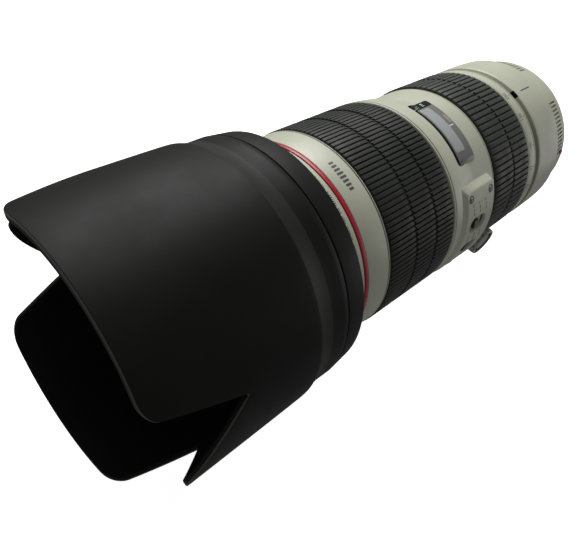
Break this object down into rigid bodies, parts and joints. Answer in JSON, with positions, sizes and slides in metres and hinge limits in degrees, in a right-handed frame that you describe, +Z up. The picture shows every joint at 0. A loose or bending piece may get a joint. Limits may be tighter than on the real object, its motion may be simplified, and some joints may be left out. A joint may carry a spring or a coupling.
{
  "type": "telephoto zoom lens",
  "caption": "White telephoto zoom lens with ribbed zoom and focus rings, distance window, switch panel, tripod collar, bayonet mount and a black petal hood",
  "frame": {"origin": "centre of the bayonet mount's flange face, on the optical axis", "axes": "+Y out of the rear of the lens towards the camera, +Z up on the distance window's side, +X to the right of someone facing the front element"},
  "size_m": [0.1066, 0.2695, 0.1266],
  "materials": {
    "white_paint": "satin warm off-white paint",
    "rubber": "ribbed matt rubber",
    "hood_black": "semi-matt black",
    "black_metal": "black anodised",
    "dark_plastic": "matt black",
    "red_paint": "gloss red",
    "steel": "satin chromed",
    "aluminium": "satin",
    "glass": "coated optical glass",
    "window": "clear plastic window",
    "grey_knob": "satin light grey",
    "brass": "bare"
  },
  "bodies": {
    "barrel": {"mount_bayonet": "steel", "mount_gasket": "rubber", "contact_block": "dark_plastic", "mount_screw_1": "steel", "mount_screw_2": "steel", "mount_screw_3": "steel", "mount_screw_4": "steel", "rear_barrel": "white_paint", "main_tube": "black_metal", "mid_barrel": "white_paint", "distance_window": "window", "switch_panel": "white_paint", "panel_screw_1": "steel", "panel_screw_2": "steel", "panel_screw_3": "steel", "panel_screw_4": "steel", "front_barrel": "white_paint", "red_ring": "red_paint", "filter_ring": "black_metal", "front_element": "glass", "motor_stator": "brass", "aperture_housing": "black_metal", "stabiliser_housing": "black_metal", "rear_element": "glass"},
    "focus_ring": {"focus_sleeve": "dark_plastic", "focus_rubber": "rubber"},
    "distance_drum": {"distance_scale": "dark_plastic"},
    "focus_group": {"focus_carriage": "aluminium", "focus_element": "glass"},
    "zoom_ring": {"zoom_sleeve": "white_paint", "zoom_rubber": "rubber", "cam_tube": "aluminium"},
    "variator": {"variator_carriage": "black_metal", "variator_element": "glass"},
    "compensator": {"compensator_carriage": "black_metal", "compensator_element": "glass"},
    "collar": {"collar_base": "white_paint", "collar_foot": "white_paint", "collar_hinge_pin": "steel"},
    "collar_band": {"collar_band": "white_paint"},
    "collar_knob": {"collar_knob": "grey_knob"},
    "switch_1": {"switch_slider_1": "dark_plastic"},
    "switch_2": {"switch_slider_2": "dark_plastic"},
    "switch_3": {"switch_slider_3": "dark_plastic"},
    "switch_4": {"switch_slider_4": "dark_plastic"},
    "hood": {"hood_ring": "hood_black", "hood_shell": "hood_black"},
    "hood_release": {"hood_release_button": "dark_plastic"},
    "iris_ring": {"iris_ring": "black_metal"},
    "iris_blade_1": {"iris_blade_1": "black_metal"},
    "iris_blade_2": {"iris_blade_2": "black_metal"},
    "iris_blade_3": {"iris_blade_3": "black_metal"},
    "iris_blade_4": {"iris_blade_4": "black_metal"},
    "iris_blade_5": {"iris_blade_5": "black_metal"},
    "iris_blade_6": {"iris_blade_6": "black_metal"},
    "iris_blade_7": {"iris_blade_7": "black_metal"},
    "iris_blade_8": {"iris_blade_8": "black_metal"},
    "stabiliser_yoke": {"stabiliser_yoke": "aluminium"},
    "stabiliser_lens": {"stabiliser_cell": "dark_plastic", "stabiliser_element": "glass"}
  },
  "joints": [
    {"name": "focus_turn", "type": "hinge", "parent": "barrel", "child": "focus_ring", "pos_m": [0, -0.131, 0], "axis": [0, -1, 0], "range_deg": [-6, 114]},
    {"name": "distance_turn", "type": "hinge", "parent": "barrel", "child": "distance_drum", "pos_m": [0, -0.095, 0], "axis": [0, -1, 0], "range_deg": [-3, 57]},
    {"name": "focus_travel", "type": "slide", "parent": "barrel", "child": "focus_group", "axis": [0, -1, 0], "range_m": [-0.0005, 0.008]},
    {"name": "zoom_turn", "type": "hinge", "parent": "barrel", "child": "zoom_ring", "pos_m": [0, -0.06, 0], "axis": [0, -1, 0], "range_deg": [0, 66]},
    {"name": "variator_travel", "type": "slide", "parent": "barrel", "child": "variator", "axis": [0, -1, 0], "range_m": [0, 0.0245]},
    {"name": "compensator_travel", "type": "slide", "parent": "barrel", "child": "compensator", "axis": [0, -1, 0], "range_m": [0, 0.006]},
    {"name": "collar_turn", "type": "hinge", "parent": "barrel", "child": "collar", "pos_m": [0, -0.025, 0], "axis": [0, -1, 0], "continuous": true},
    {"name": "collar_open", "type": "hinge", "parent": "collar", "child": "collar_band", "pos_m": [-0.04277, -0.025, 0.00149], "axis": [0, -1, 0], "range_deg": [0, 50]},
    {"name": "knob_turn", "type": "hinge", "parent": "collar", "child": "collar_knob", "pos_m": [0.03215, -0.027, -0.03926], "axis": [0.9744, 0, 0.225], "continuous": true},
    {"name": "switch_1_slide", "type": "slide", "parent": "barrel", "child": "switch_1", "axis": [0, 1, 0], "range_m": [0, 0.0035]},
    {"name": "switch_2_slide", "type": "slide", "parent": "barrel", "child": "switch_2", "axis": [0, 1, 0], "range_m": [0, 0.0035]},
    {"name": "switch_3_slide", "type": "slide", "parent": "barrel", "child": "switch_3", "axis": [0, 1, 0], "range_m": [0, 0.0035]},
    {"name": "switch_4_slide", "type": "slide", "parent": "barrel", "child": "switch_4", "axis": [0, 1, 0], "range_m": [0, 0.0035]},
    {"name": "hood_twist", "type": "hinge", "parent": "barrel", "child": "hood", "pos_m": [0, -0.177, 0], "axis": [0, -1, 0], "range_deg": [0, 60]},
    {"name": "hood_release_press", "type": "slide", "parent": "hood", "child": "hood_release", "axis": [-0.6428, 0, 0.766], "range_m": [0, 0.001], "stiffness_N_per_m": 400},
    {"name": "iris_turn", "type": "hinge", "parent": "barrel", "child": "iris_ring", "pos_m": [0, -0.0474, 0], "axis": [0, -1, 0], "range_deg": [0, 40]},
    {"name": "iris_blade_1_swing", "type": "hinge", "parent": "barrel", "child": "iris_blade_1", "pos_m": [0.025, -0.0397, 0], "axis": [0, -1, 0], "range_deg": [0, 30]},
    {"name": "iris_blade_2_swing", "type": "hinge", "parent": "barrel", "child": "iris_blade_2", "pos_m": [0.01768, -0.0405, 0.01768], "axis": [0, -1, 0], "range_deg": [0, 30]},
    {"name": "iris_blade_3_swing", "type": "hinge", "parent": "barrel", "child": "iris_blade_3", "pos_m": [0, -0.0413, 0.025], "axis": [0, -1, 0], "range_deg": [0, 30]},
    {"name": "iris_blade_4_swing", "type": "hinge", "parent": "barrel", "child": "iris_blade_4", "pos_m": [-0.01768, -0.0421, 0.01768], "axis": [0, -1, 0], "range_deg": [0, 30]},
    {"name": "iris_blade_5_swing", "type": "hinge", "parent": "barrel", "child": "iris_blade_5", "pos_m": [-0.025, -0.0429, 0], "axis": [0, -1, 0], "range_deg": [0, 30]},
    {"name": "iris_blade_6_swing", "type": "hinge", "parent": "barrel", "child": "iris_blade_6", "pos_m": [-0.01768, -0.0437, -0.01768], "axis": [0, -1, 0], "range_deg": [0, 30]},
    {"name": "iris_blade_7_swing", "type": "hinge", "parent": "barrel", "child": "iris_blade_7", "pos_m": [0, -0.0445, -0.025], "axis": [0, -1, 0], "range_deg": [0, 30]},
    {"name": "iris_blade_8_swing", "type": "hinge", "parent": "barrel", "child": "iris_blade_8", "pos_m": [0.01768, -0.0453, -0.01768], "axis": [0, -1, 0], "range_deg": [0, 30]},
    {"name": "stabiliser_x", "type": "slide", "parent": "barrel", "child": "stabiliser_yoke", "axis": [1, 0, 0], "range_m": [-0.0009, 0.0009]},
    {"name": "stabiliser_z", "type": "slide", "parent": "stabiliser_yoke", "child": "stabiliser_lens", "axis": [0, 0, 1], "range_m": [-0.0009, 0.0009]}
  ],
  "couplings": [
    {"joint": "distance_turn", "follows": "focus_turn", "ratio": 0.5},
    {"joint": "focus_travel", "follows": "focus_turn", "m_per_rad": 0.004},
    {"joint": "variator_travel", "follows": "zoom_turn", "m_per_rad": 0.0208},
    {"joint": "compensator_travel", "follows": "zoom_turn", "m_per_rad": 0.005},
    {"joint": "iris_blade_1_swing", "follows": "iris_turn", "ratio": 0.75},
    {"joint": "iris_blade_2_swing", "follows": "iris_turn", "ratio": 0.75},
    {"joint": "iris_blade_3_swing", "follows": "iris_turn", "ratio": 0.75},
    {"joint": "iris_blade_4_swing", "follows": "iris_turn", "ratio": 0.75},
    {"joint": "iris_blade_5_swing", "follows": "iris_turn", "ratio": 0.75},
    {"joint": "iris_blade_6_swing", "follows": "iris_turn", "ratio": 0.75},
    {"joint": "iris_blade_7_swing", "follows": "iris_turn", "ratio": 0.75},
    {"joint": "iris_blade_8_swing", "follows": "iris_turn", "ratio": 0.75}
  ]
}
